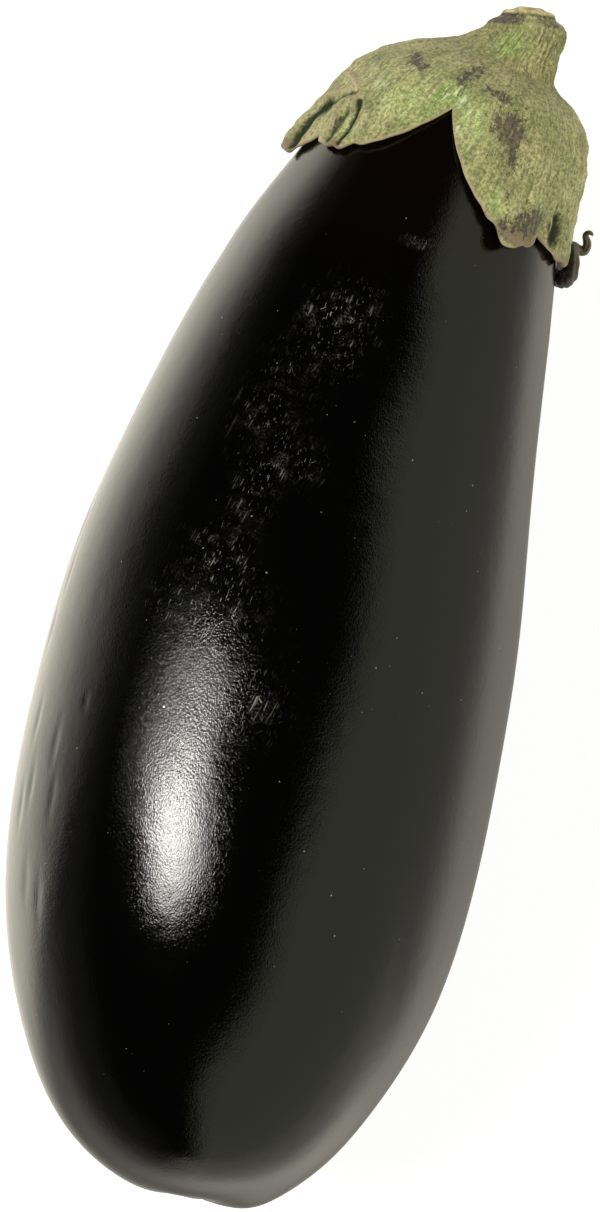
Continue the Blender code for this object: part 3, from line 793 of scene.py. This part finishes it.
def make_cap(material):
    """The cap and the stem. Rows run from the cut end down the outside to the lobes' edges, round the edges
    and back up the inside along the skin. The outside is the cap's outline with the lobes' ribs, the rolled
    fold, lumps, pits, lengthwise fibres and creases, thinned towards the edges, whose tips are lifted."""
    degrees = cap_columns()[None, :]
    azimuth = np.radians(degrees)
    edge_station, tip_lift, share = cap_edge(degrees)
    table = np.linspace(0.0, 1.0, OUTLINE_SAMPLES)
    line = smooth_path(CAP_OUTLINE, table)
    shoulder = np.interp(-SHOULDER_STATION, -line[:, 0], table)
    edge = np.interp(-edge_station, -line[:, 0], table)
    neck_down = np.linspace(0.0, 1.0, NECK_ROWS, endpoint=False)[:, None] * shoulder + 0.0 * edge
    lobe_down = shoulder + (edge - shoulder) * np.linspace(0.0, 1.0, LOBE_ROWS)[:, None]
    station, radius = np.moveaxis(smooth_path(CAP_OUTLINE, np.vstack([neck_down, lobe_down])), -1, 0)

    # Wall: thinned towards the edges, with ribs, the fold and the lifted tips
    distance = edge_distance(degrees, station)
    inner_radius = offset_outline(pole_angle(np.minimum(station, FRUIT_LENGTH)), CAP_GAP)[1]
    wall = np.maximum(radius - inner_radius, 0.0)
    in_lobes = ease(0.5 + (SHOULDER_STATION - station) / SHOULDER_BLEND)
    near_edge = (1.0 - ease(distance / EDGE_TAPER)) * in_lobes
    thinned = near_edge * (wall - LOBE_EDGE)
    rib_start = ease((CAP_OUTLINE[0][0] - station) / RIB_RUN)
    rib = -RIB_HEIGHT * np.cos(math.pi * share) * rib_start * (1.0 - near_edge)
    fold_side = (degrees % 360.0 - FOLD_AZIMUTH) / FOLD_WIDTH
    fold_start = ease((FOLD_TOP - station) / FOLD_RUN)
    fold = FOLD_HEIGHT * np.exp(-fold_side ** 2) * fold_start * (1.0 - near_edge)
    lifted = tip_lift * ease(share / LIFTED_SHARE) * (1.0 - ease(distance / LIFT_REACH))
    margin = swelling(LIFTED_MARGINS, degrees, station)

    # Fine relief
    smooth = place(station, azimuth, radius)
    inland = ease(distance / INLAND_REACH)
    lumps = LUMP_HEIGHT * waves(smooth, LUMP_LENGTH, seed=11) * (0.4 + 0.6 * inland)
    pits = PIT_HEIGHT * waves(smooth, PIT_LENGTH, seed=12) * inland
    fibres = cap_fibres(smooth, azimuth, station)
    cleft, crease_shade = cap_lines(CREASES, degrees, station, radius)
    ridge, pale = cap_lines(RIDGES, degrees, station, radius)
    thick = swelling(THICK_ENDS, degrees, station)
    outer = radius - thinned + rib + fold + lumps + pits + fibres + ridge + thick + lifted - cleft
    outer = np.where(in_lobes > 0.5, np.maximum(outer, inner_radius + LEAST_WALL + lifted), outer)

    # Cut end, then the outside, the rounded rim, and the inside up to the fruit's stem end
    cut = smooth_path(CUT_OUTLINE, np.linspace(0.0, 1.0, CUT_ROWS, endpoint=False))
    cut_station = cut[:, :1] + 0.0 * degrees
    cut_radius = cut[:, 1:] + 0.0 * degrees
    inside_angle = pole_angle(edge_station)
    inside_angle = inside_angle + (math.pi - inside_angle) * np.linspace(0.0, 1.0, INSIDE_ROWS)[:, None]
    inside_station, inside_radius = offset_outline(inside_angle, CAP_GAP)
    back = ease((inside_station - edge_station) / LIFT_REACH)
    inside_radius = inside_radius + lifted[-1] * (1.0 - back)
    around = np.linspace(0.0, math.pi, RIM_ROWS + 2)[1:-1, None]
    top, bottom = outer[-1], inside_radius[0]
    rim_station = station[-1] - RIM_BULGE * (top - bottom) * np.sin(around)
    rim_radius = 0.5 * (top + bottom) + 0.5 * (top - bottom) * np.cos(around)
    all_station = np.vstack([cut_station, station, rim_station, inside_station])
    all_radius = np.vstack([cut_radius, outer, rim_radius, inside_radius])
    rise = np.vstack([0.0 * cut_station, margin, margin[-1] + 0.0 * rim_station, margin[-1] * (1.0 - back)])
    points = place(all_station, azimuth, all_radius)
    points[..., 2] += rise
    on_end = np.sin(math.pi * np.linspace(0.0, 1.0, CUT_ROWS))[:, None]
    points[:CUT_ROWS, :, 1] += CUT_LUMPS * on_end * waves(points[:CUT_ROWS], CUT_LUMP_LENGTH, seed=15)

    def whole(values, on_cut, beyond):
        """An outside value, carried on over the cut end, the rim and the inside with fixed values, or over
        the rim and the inside with its own value at the edge."""
        values = values + np.zeros(station.shape)
        held = values[-1:] if beyond is None else beyond
        return np.vstack([
            on_cut + np.zeros(cut_station.shape),
            values,
            held + np.zeros(rim_station.shape),
            held + np.zeros(inside_station.shape),
        ])

    band = np.zeros(cut_radius.shape)
    for middle, reach, strength in BANDS:
        fading = np.exp(-(turned_from(middle, degrees) / reach) ** 4)
        band = np.maximum(band, strength * fading * (cut_radius > PLATE_RADIUS))
    # Painted shade along the step where the cut plate ends
    step = np.exp(-((cut_radius - PLATE_RADIUS) / PLATE_STEP) ** 2)
    on_plate = (cut_radius <= PLATE_RADIUS) + 0.0
    bruise = patches(BRUISES, degrees, station, radius)
    fresh = patches(FRESH, degrees, station, radius)
    rim = np.exp(-(distance / RIM_REACH) ** 2)
    dry = DRY_EDGE * (1.0 - ease(distance / DRY_REACH)) * share + patches(DRY, degrees, station, radius)
    unrolled = np.broadcast_arrays(
        CAP_RADIUS * np.cos(azimuth), CAP_RADIUS * np.sin(azimuth), all_station * FIBRE_STRETCH)
    attributes = {
        # Painted shade in the creases and along the plate's step
        "groove_shade": whole(crease_shade, PLATE_STEP_SHADE * step, 0.0),
        "bruise": whole(np.clip(bruise, 0.0, 1.0), band, None),
        "fresh": whole(np.clip(fresh, 0.0, 1.0), 0.0, 0.0),
        "rim": whole(np.maximum(rim, pale), 0.0, 1.0),
        "dry": whole(np.clip(dry, 0.0, 1.0), 0.0, None),
        "cut_end": whole(0.0, on_plate, 0.0),
        "fibre_place": np.stack(unrolled, axis=-1),
    }
    piece = closed_grid("cap_and_stem", lay_down(points), material, attributes, outward=False)
    join_frame(piece, "calyx_and_stem")


def make_dried_tip(material):
    """The dried lobe tip: a tapering tube carried along its path, closed at both ends, whose radius swells
    and shrinks with lengthwise wrinkles and a few knots, all of them sums of sines."""
    share = np.linspace(0.0, 1.0, TIP_ROWS)
    way = smooth_path(DRIED_TIP_PATH, share)
    centre = np.stack([way[:, 1], way[:, 0], way[:, 2]], axis=-1)
    ahead = np.gradient(centre, axis=0)
    ahead /= np.linalg.norm(ahead, axis=1, keepdims=True)
    side = np.cross(ahead, TIP_UPWARDS)
    side /= np.linalg.norm(side, axis=1, keepdims=True)
    up = np.cross(side, ahead)
    turn = np.linspace(0.0, 2.0 * math.pi, TIP_COLUMNS, endpoint=False)[None, :]
    length = share[:, None]
    wrinkle = np.sin(5.0 * turn + 9.0 * length) + 0.6 * np.sin(8.0 * turn - 14.0 * length + 1.0)
    knots = 0.4 * np.sin(60.0 * length + 1.5 * np.sin(turn)) + 0.3 * np.sin(97.0 * length)
    from_end = np.minimum(length, 1.0 - length) / TIP_ROUNDING
    end = np.sqrt(np.clip(1.0 - (1.0 - from_end).clip(0.0, 1.0) ** 2, 0.0, 1.0))
    radius = way[:, 3:] * (1.0 + TIP_WRINKLE * 0.5 * (wrinkle + knots)) * end
    ring = side[:, None, :] * np.cos(turn)[..., None] + up[:, None, :] * np.sin(turn)[..., None]
    points = lay_down(centre[:, None, :] + radius[..., None] * ring)
    along = np.repeat(length, TIP_COLUMNS, axis=1)
    piece = closed_grid("dried_tip", points, material, {"along": along}, outward=False)
    join_frame(piece, "withered_lobe_tip")


class Nodes:
    """The nodes of one tree. An input is a number, a vector, a colour or another node's output."""

    def __init__(self, tree):
        self.tree = tree

    def fill(self, socket, value):
        """Links the socket to a node's output, or sets it to a value."""
        if isinstance(value, bpy.types.NodeSocket):
            self.tree.links.new(value, socket)
        else:
            socket.default_value = value

    def add(self, kind, inputs=(), **settings):
        """A new node, with its properties set and its inputs filled."""
        node = self.tree.nodes.new("ShaderNode" + kind)
        for key, value in settings.items():
            setattr(node, key, value)
        for key, value in dict(inputs).items():
            self.fill(node.inputs[key], value)
        return node

    def math(self, operation, first, second=0.0, third=0.0):
        """The result of a Math node."""
        return self.add("Math", {0: first, 1: second, 2: third}, operation=operation).outputs[0]

    def times(self, first, second):
        """The product of two numbers."""
        return self.math("MULTIPLY", first, second)

    def squared(self, value):
        """A number times itself."""
        return self.math("POWER", value, 2.0)

    def scaled(self, value, factor, base):
        """A number times a factor, plus a base."""
        return self.math("MULTIPLY_ADD", value, factor, base)

    def stretched(self, vector, factors):
        """A vector with each of its parts times a factor."""
        return self.add("VectorMath", {0: vector, 1: factors}, operation="MULTIPLY").outputs[0]

    def step(self, value, low, high):
        """0 at low, 1 at high, smooth between and level outside; low may be the larger."""
        inputs = {"Value": value, "From Min": low, "From Max": high}
        return self.add("MapRange", inputs, interpolation_type="SMOOTHSTEP").outputs[0]

    def curve(self, value, knots):
        """The height at a value of the smooth curve through knots, which run from value 0 to value 1."""
        node = self.add("FloatCurve", {"Value": value})
        line = node.mapping.curves[0]
        line.points[0].location, line.points[1].location = knots[0], knots[-1]
        for knot in knots[1:-1]:
            line.points.new(*knot)
        node.mapping.update()
        return node.outputs[0]

    def mix(self, factor, first, second, blend="MIX"):
        """Two colours mixed by a factor."""
        node = self.add("Mix", {0: factor, 6: first, 7: second}, data_type="RGBA", blend_type=blend)
        return node.outputs[2]

    def cover(self, colour, over, mask, strength=1.0):
        """A colour, covered by another where the mask is 1 as far as the strength says."""
        return self.mix(mask if strength == 1.0 else self.times(mask, strength), colour, over)

    def shade(self, colour, factor, dark, light):
        """A colour multiplied by a mix of a dark and a light shade."""
        return self.mix(1.0, colour, self.mix(factor, dark, light), "MULTIPLY")

    def attribute(self, name, output="Fac"):
        """An attribute of the piece."""
        return self.add("Attribute", attribute_name=name).outputs[output]

    def noise(self, vector, scale, detail=2.0, roughness=0.5):
        """A noise of about 0 to 1."""
        inputs = {"Vector": vector, "Scale": scale, "Detail": detail, "Roughness": roughness}
        return self.add("TexNoise", inputs).outputs["Fac"]

    def mask(self, group, **inputs):
        """The Mask of a node group that is placed with its own values."""
        return self.add("Group", inputs, node_tree=group).outputs["Mask"]

    def bump(self, height, distance, normal=None):
        """A normal bumped by a height of 0 to 1 times a distance in metres."""
        inputs = {"Height": height, "Distance": distance, "Strength": 1.0}
        if normal is not None:
            inputs["Normal"] = normal
        return self.add("Bump", inputs).outputs["Normal"]


def start_group(name, **usual):
    """An empty node group, as its nodes, its inputs and its Mask output. Each input is named with its usual
    value, and is a vector where that is None or three numbers."""
    group = bpy.data.node_groups.new(name, "ShaderNodeTree")
    for key, value in usual.items():
        kind = "NodeSocketFloat" if isinstance(value, float) else "NodeSocketVector"
        socket = group.interface.new_socket(key, in_out="INPUT", socket_type=kind)
        if value is not None:
            socket.default_value = value
    group.interface.new_socket("Mask", in_out="OUTPUT", socket_type="NodeSocketFloat")
    given = group.nodes.new("NodeGroupInput").outputs
    return Nodes(group), given, group.nodes.new("NodeGroupOutput").inputs["Mask"]


def make_specks():
    """Small round specks: the middles of Voronoi cells, nearer than Size cells, in a Share of the cells."""
    nodes, given, mask = start_group("specks", Vector=None, Scale=300.0, Size=0.1, Share=0.5)
    cells = nodes.add("TexVoronoi", {"Vector": given["Vector"], "Scale": given["Scale"]}).outputs
    shade = nodes.add("SeparateColor", {"Color": cells["Color"]}).outputs
    size = nodes.times(given["Size"], nodes.scaled(shade[1], 0.8, 0.4))
    dot = nodes.math("LESS_THAN", cells["Distance"], size)
    chosen = nodes.math("LESS_THAN", shade[0], given["Share"])
    nodes.fill(mask, nodes.times(dot, chosen))
    return nodes.tree


def make_strokes():
    """Short strokes: noise drawn out along one direction, kept where it is above a threshold."""
    nodes, given, mask = start_group(
        "strokes", Vector=None, Turn=None, Thinness=(1.0, 0.16, 0.5), Scale=1500.0, Threshold=0.66)
    turned = nodes.add("Mapping", {"Vector": given["Vector"], "Rotation": given["Turn"]}).outputs[0]
    grain = nodes.noise(nodes.stretched(turned, given["Thinness"]), given["Scale"], 1.0)
    high = nodes.math("ADD", given["Threshold"], STROKE_SOFTNESS)
    nodes.fill(mask, nodes.step(grain, given["Threshold"], high))
    return nodes.tree


def start_material(name):
    """A material, as itself, its nodes, its Principled shader's inputs and the Object coordinates."""
    material = bpy.data.materials.new(name)
    material.use_nodes = True
    nodes = Nodes(material.node_tree)
    shader = nodes.tree.nodes["Principled BSDF"].inputs
    shader["Metallic"].default_value = 0.0
    return material, nodes, shader, nodes.add("TexCoord").outputs["Object"]


def skin_material(specks, strokes):
    """Waxy, almost black skin with fine orange peel and a corky scar. Its marks are scuff strokes, worn
    smears, dust and nicks, and at each place the strongest of them counts."""
    material, nodes, shader, where = start_material("aubergine_skin")
    scuffed, scar = nodes.attribute("scuffed"), nodes.attribute("scar")
    patchy = nodes.noise(where, 330.0, 3.0)
    marked = 0.0
    for turn, scale, thinness, threshold, half in SCUFF_STROKES:
        drawn = nodes.mask(strokes, Vector=where, Turn=(0.0, 0.0, turn), Scale=scale,
                           Thinness=(1.0, thinness, 0.5), Threshold=threshold)
        there = nodes.step(patchy, 0.50, 0.50 + 0.12 * half)
        marked = nodes.math("MAXIMUM", nodes.times(drawn, there), marked)
    marked = nodes.times(scuffed, nodes.times(marked, 0.9))
    grain = nodes.step(nodes.noise(where, 2600.0, 3.0), 0.40, 0.75)
    worn = nodes.times(nodes.step(patchy, 0.46, 0.66), grain)
    smears = nodes.times(scuffed, nodes.times(worn, 0.24))
    dust = nodes.mask(specks, Vector=where, Scale=420.0, Size=0.060, Share=0.20)
    share = nodes.scaled(scuffed, 0.30, 0.006)
    nicks = nodes.mask(specks, Vector=where, Scale=1700.0, Size=0.15, Share=share)
    for mark in (nodes.times(dust, 0.7), nodes.times(nicks, 0.5), smears):
        marked = nodes.math("MAXIMUM", marked, mark)
    colour = nodes.mix(nodes.attribute("near_cap"), SKIN_BLACK, SKIN_NEAR_CAP)
    colour = nodes.cover(colour, SCUFF_GREY, marked)
    nodes.fill(shader["Base Color"], nodes.cover(colour, CORK, scar))
    gloss = nodes.scaled(nodes.noise(where, 90.0, 3.0), 0.06, 0.060)
    gloss = nodes.scaled(marked, 0.35, gloss)
    nodes.fill(shader["Roughness"], nodes.scaled(scar, 0.6, gloss))
    nodes.fill(shader["IOR"], 1.48)
    narrow = nodes.noise(nodes.stretched(where, (1.6, 1.0, 1.0)), 2100.0, 2.0, 0.6)
    dimples = nodes.times(narrow, nodes.scaled(nodes.attribute("peel"), 1.4, 0.62))
    normal = nodes.bump(dimples, DIMPLE_DEPTH)
    normal = nodes.bump(nodes.noise(where, 260.0, 2.0), RIPPLE_DEPTH, normal)
    nodes.fill(shader["Normal"], nodes.bump(marked, SCUFF_DEPTH, normal))
    return material


def cap_material(specks, strokes):
    """Leathery green with tan mottling and lengthwise fibres, fresher, bruised and dried places, pits and
    pale scratches, tan rims, and a straw-coloured cut end. Painted shade darkens the creases and the step
    round the cut plate, and takes their shine down."""
    material, nodes, shader, where = start_material("calyx_green")
    along = nodes.attribute("fibre_place", "Vector")
    fibres = nodes.noise(along, 1500.0, 4.0, 0.65)
    broad = nodes.step(nodes.noise(where, 130.0, 4.0), 0.36, 0.64)
    colour = nodes.mix(broad, GREEN_DEEP, GREEN_PALE)
    tan = nodes.step(nodes.noise(where, 330.0, 5.0, 0.65), 0.50, 0.68)
    colour = nodes.cover(colour, TAN, tan, 0.6)
    fresh = nodes.step(nodes.noise(along, 420.0, 4.0, 0.6), 0.30, 0.58)
    fresh = nodes.times(nodes.attribute("fresh"), fresh)
    colour = nodes.cover(colour, GREEN_FRESH, fresh)
    mottle = nodes.step(nodes.noise(where, 1500.0, 5.0, 0.75), 0.36, 0.64)
    colour = nodes.shade(colour, mottle, *MOTTLE_SHADES)
    colour = nodes.shade(colour, nodes.step(fibres, 0.32, 0.66), *FIBRE_SHADES)

    scratches = nodes.mask(strokes, Vector=where, Turn=(0.0, 0.0, 0.55), Scale=1500.0, Threshold=0.64)
    scratched = nodes.times(scratches, nodes.scaled(fresh, 0.70, 0.20))
    colour = nodes.cover(colour, SCRATCH_PALE, scratched)
    pits = nodes.mask(specks, Vector=where, Scale=620.0, Size=0.20, Share=0.20)
    blotches = nodes.step(nodes.noise(where, 900.0, 4.0, 0.7), 0.60, 0.68)
    colour = nodes.cover(colour, PIT_DARK, nodes.math("MAXIMUM", pits, blotches), 0.55)

    # Marks and painted shade: soft masks broken up by noise along and across the fibres
    across = nodes.noise(where, 1000.0, 4.0, 0.7)
    ragged = nodes.scaled(nodes.math("ADD", fibres, across), 2.3, -2.3)
    colour = nodes.cover(colour, RIM_TAN, nodes.attribute("rim"), 0.75)
    dry = nodes.math("ADD", nodes.attribute("dry"), nodes.times(ragged, 0.45))
    colour = nodes.cover(colour, DRY_TAN, nodes.step(dry, 0.35, 0.75), 0.75)
    bruise = nodes.step(nodes.math("ADD", nodes.attribute("bruise"), ragged), 0.56, 0.86)
    purple = nodes.step(nodes.noise(where, 1300.0, 3.0), 0.40, 0.60)
    colour = nodes.cover(colour, nodes.mix(purple, BRUISE_DARK, BRUISE_BROWN), bruise, 0.9)
    straw = nodes.step(nodes.noise(where, 900.0, 4.0), 0.35, 0.65)
    colour = nodes.cover(colour, nodes.mix(straw, STRAW_DARK, STRAW), nodes.attribute("cut_end"))
    # Painted shade in the creases and along the plate's step, which also lowers the shine there
    groove_shade = nodes.math("ADD", nodes.attribute("groove_shade"), nodes.scaled(across, 0.9, -0.45))
    crease_shade = nodes.step(groove_shade, 0.18, 0.95)
    nodes.fill(shader["Base Color"], nodes.cover(colour, CREASE_PAINTED_SHADE, crease_shade))
    nodes.fill(shader["Roughness"], nodes.scaled(mottle, 0.12, 0.56))
    nodes.fill(shader["Specular IOR Level"], nodes.scaled(crease_shade, -0.36, 0.36))
    nodes.fill(shader["IOR"], 1.45)
    normal = nodes.bump(nodes.noise(where, 1400.0, 5.0, 0.65), LEATHER_DEPTH)
    normal = nodes.bump(fibres, FIBRE_DEPTH, normal)
    normal = nodes.bump(nodes.math("SUBTRACT", 1.0, pits), PIT_DEPTH, normal)
    nodes.fill(shader["Normal"], nodes.bump(scratches, SCRATCH_DEPTH, normal))
    return material


def dried_material(specks):
    """Dark brown, dried and wrinkled, olive towards the thin end, with a slight sheen."""
    material, nodes, shader, where = start_material("dried_brown")
    along = nodes.attribute("along")
    colour = nodes.mix(nodes.step(along, 0.45, 0.70), DRIED_DARK, DRIED_OLIVE)
    patch = nodes.step(nodes.noise(where, 900.0, 3.0), 0.45, 0.62)
    colour = nodes.cover(colour, DRIED_BROWN, patch, 0.6)
    colour = nodes.cover(colour, DRIED_END, nodes.step(along, 0.93, 1.0))
    dust = nodes.mask(specks, Vector=where, Scale=2200.0, Size=0.2, Share=0.15)
    nodes.fill(shader["Base Color"], nodes.cover(colour, DRIED_DUST, dust, 0.4))
    nodes.fill(shader["Roughness"], nodes.scaled(patch, 0.25, 0.26))
    nodes.fill(shader["Normal"], nodes.bump(nodes.noise(where, 1500.0, 4.0), WRINKLE_DEPTH))
    return material


def add_camera():
    """The camera, looking straight down on the middle line at the photograph's turn. Gives its target."""
    origin, *ends = lay_down(np.vstack([np.zeros(3), np.eye(3)]))
    across, along, back = (Vector(end - origin) for end in ends)
    right = math.cos(CAMERA_TURN) * across + math.sin(CAMERA_TURN) * along
    up = math.cos(CAMERA_TURN) * along - math.sin(CAMERA_TURN) * across
    target = Vector(lay_down(np.array((0.0, CAMERA_STATION, 0.0))))
    data = bpy.data.cameras.new("camera")
    data.sensor_width = SENSOR
    data.lens = SENSOR * CAMERA_DISTANCE / VIEW_HEIGHT
    data.clip_end = 5.0 * CAMERA_DISTANCE
    camera = add_object("camera", data)
    turn = Matrix((right, up, back)).transposed().to_4x4()
    camera.matrix_world = Matrix.Translation(target + CAMERA_DISTANCE * back) @ turn
    bpy.context.scene.camera = camera
    return target


def add_softbox(name, target, side, back, distance, size, radiance, mirrored):
    """An oval softbox that faces the target from an angle to the left and towards the blossom end. Its power
    is pi times its radiance times its area."""
    data = bpy.data.lights.new(name, "AREA")
    data.shape = "ELLIPSE"
    data.size, data.size_y = size
    data.energy = radiance * math.pi * (math.pi / 4.0 * size[0] * size[1])
    data.color = LAMP_COLOUR
    lamp = add_object(name, data)
    heading = Vector((-math.tan(math.radians(side)), -math.tan(math.radians(back)), 1.0)).normalized()
    lamp.location = target + distance * heading
    lamp.rotation_euler = heading.to_track_quat("Z", "Y").to_euler()
    lamp.visible_camera = False
    lamp.visible_glossy = mirrored


def start_tree(owner):
    """The nodes of a material or a world, whose tree is emptied."""
    owner.use_nodes = True
    owner.node_tree.nodes.clear()
    return Nodes(owner.node_tree)


def make_world():
    """The room by direction: a pale wall on the right past WALL_EDGE, a faint glow near the horizon on the
    left, dark elsewhere, and pale to the eye."""
    world = bpy.data.worlds.new("studio")
    bpy.context.scene.world = world
    nodes = start_tree(world)
    heading = nodes.add("TexCoord").outputs["Generated"]
    part = nodes.add("SeparateXYZ", {"Vector": heading}).outputs
    low, high = WALL_EDGE[0][0], WALL_EDGE[-1][0]
    forward = nodes.add("MapRange", {"Value": part["Y"], "From Min": low, "From Max": high}).outputs[0]
    edge = nodes.curve(forward, [((y - low) / (high - low), x + WALL_SHIFT) for y, x in WALL_EDGE])
    past = nodes.math("SUBTRACT", nodes.math("ADD", part["X"], WALL_SHIFT), edge)
    wall = nodes.step(past, -WALL_BLUR, WALL_BLUR)
    low_down = nodes.step(part["Z"], HORIZON_TOP, 0.0)
    on_left = nodes.step(part["X"], 0.0, HORIZON_SIDE)
    glow = nodes.times(nodes.times(low_down, on_left), HORIZON_RADIANCE)
    strength = nodes.scaled(wall, WALL_RADIANCE, nodes.math("ADD", glow, ROOM_DARK))
    lit = nodes.add("Background", {"Color": WALL_COLOUR, "Strength": strength}).outputs[0]
    seen = nodes.add("Background", {"Color": PALE, "Strength": 1.0}).outputs[0]
    eye = nodes.add("LightPath").outputs["Is Camera Ray"]
    mixed = nodes.add("MixShader", {0: eye, 1: lit, 2: seen}).outputs[0]
    nodes.add("OutputWorld", {"Surface": mixed})


def pool_light(nodes, side, forward):
    """Share of the full light at a place on the floor: on each side a curve of the scaled distance to the
    fruit's middle stretch. It is bright and falls off fast on the left, and dimmer and even on the right."""
    held = nodes.math("MINIMUM", nodes.math("MAXIMUM", forward, POOL_NEAR), POOL_FAR)
    off_middle = nodes.math("ABSOLUTE", nodes.math("SUBTRACT", forward, POOL_MIDDLE))
    past_end = nodes.squared(nodes.math("MAXIMUM", nodes.math("SUBTRACT", off_middle, POOL_HALF), 0.0))
    left_scale = nodes.scaled(held, LEFT_SCALE_SLOPE, LEFT_SCALE)
    shifted = nodes.squared(nodes.math("ADD", held, RIGHT_SHIFT))
    right_scale = nodes.scaled(shifted, RIGHT_SCALE_BEND, RIGHT_SCALE)
    past_blossom = nodes.step(forward, *POOL_END)
    sides = []
    for scale, knots, at_end in ((left_scale, POOL_LEFT, LEFT_END), (right_scale, POOL_RIGHT, RIGHT_END)):
        across = nodes.squared(nodes.times(side, scale))
        away = nodes.math("SQRT", nodes.math("ADD", across, past_end))
        sides.append(nodes.times(nodes.curve(away, knots), nodes.scaled(past_blossom, at_end - 1.0, 1.0)))
    left = nodes.times(sides[0], nodes.scaled(held, LEFT_LEVEL_SLOPE, LEFT_LEVEL))
    on_left = nodes.step(side, POOL_BLEND, -POOL_BLEND)
    return nodes.add("Mix", {0: on_left, 2: sides[1], 3: left}).outputs[0]


def make_floor():
    """The pale floor: soft shadows for the eye, and a pool of light round the fruit in reflections."""
    half = 0.5 * FLOOR_SIZE
    mesh = bpy.data.meshes.new("floor")
    corners = [(-half, -half, 0.0), (half, -half, 0.0), (half, half, 0.0), (-half, half, 0.0)]
    mesh.from_pydata(corners, [], [(0, 1, 2, 3)])
    material = bpy.data.materials.new("pale_floor")
    nodes = start_tree(material)
    where = nodes.add("TexCoord").outputs["Object"]
    part = nodes.add("SeparateXYZ", {"Vector": where}).outputs
    strength = nodes.times(pool_light(nodes, part["X"], part["Y"]), POOL_RADIANCE)
    mirrored = nodes.add("Emission", {"Color": POOL_COLOUR, "Strength": strength}).outputs[0]
    lit = nodes.add("BsdfDiffuse", {"Color": FLOOR_COLOUR}).outputs[0]
    glow = nodes.add("Emission", {"Color": PALE, "Strength": FLOOR_GLOW}).outputs[0]
    plain = nodes.add("AddShader", {0: lit, 1: glow}).outputs[0]
    glossy = nodes.add("LightPath").outputs["Is Glossy Ray"]
    mixed = nodes.add("MixShader", {0: glossy, 1: plain, 2: mirrored}).outputs[0]
    nodes.add("OutputMaterial", {"Surface": mixed})
    mesh.materials.append(material)
    floor = add_object("floor", mesh)


def main():
    """Sets the camera, the lights and the stage, and makes the three pieces."""
    bpy.context.scene.view_settings.view_transform = "Standard"
    target = add_camera()
    for name, values in SOFTBOXES.items():
        add_softbox(name, target, *values)
    make_world()
    make_floor()
    specks, strokes = make_specks(), make_strokes()
    make_skin(skin_material(specks, strokes))
    make_cap(cap_material(specks, strokes))
    make_dried_tip(dried_material(specks))


main()
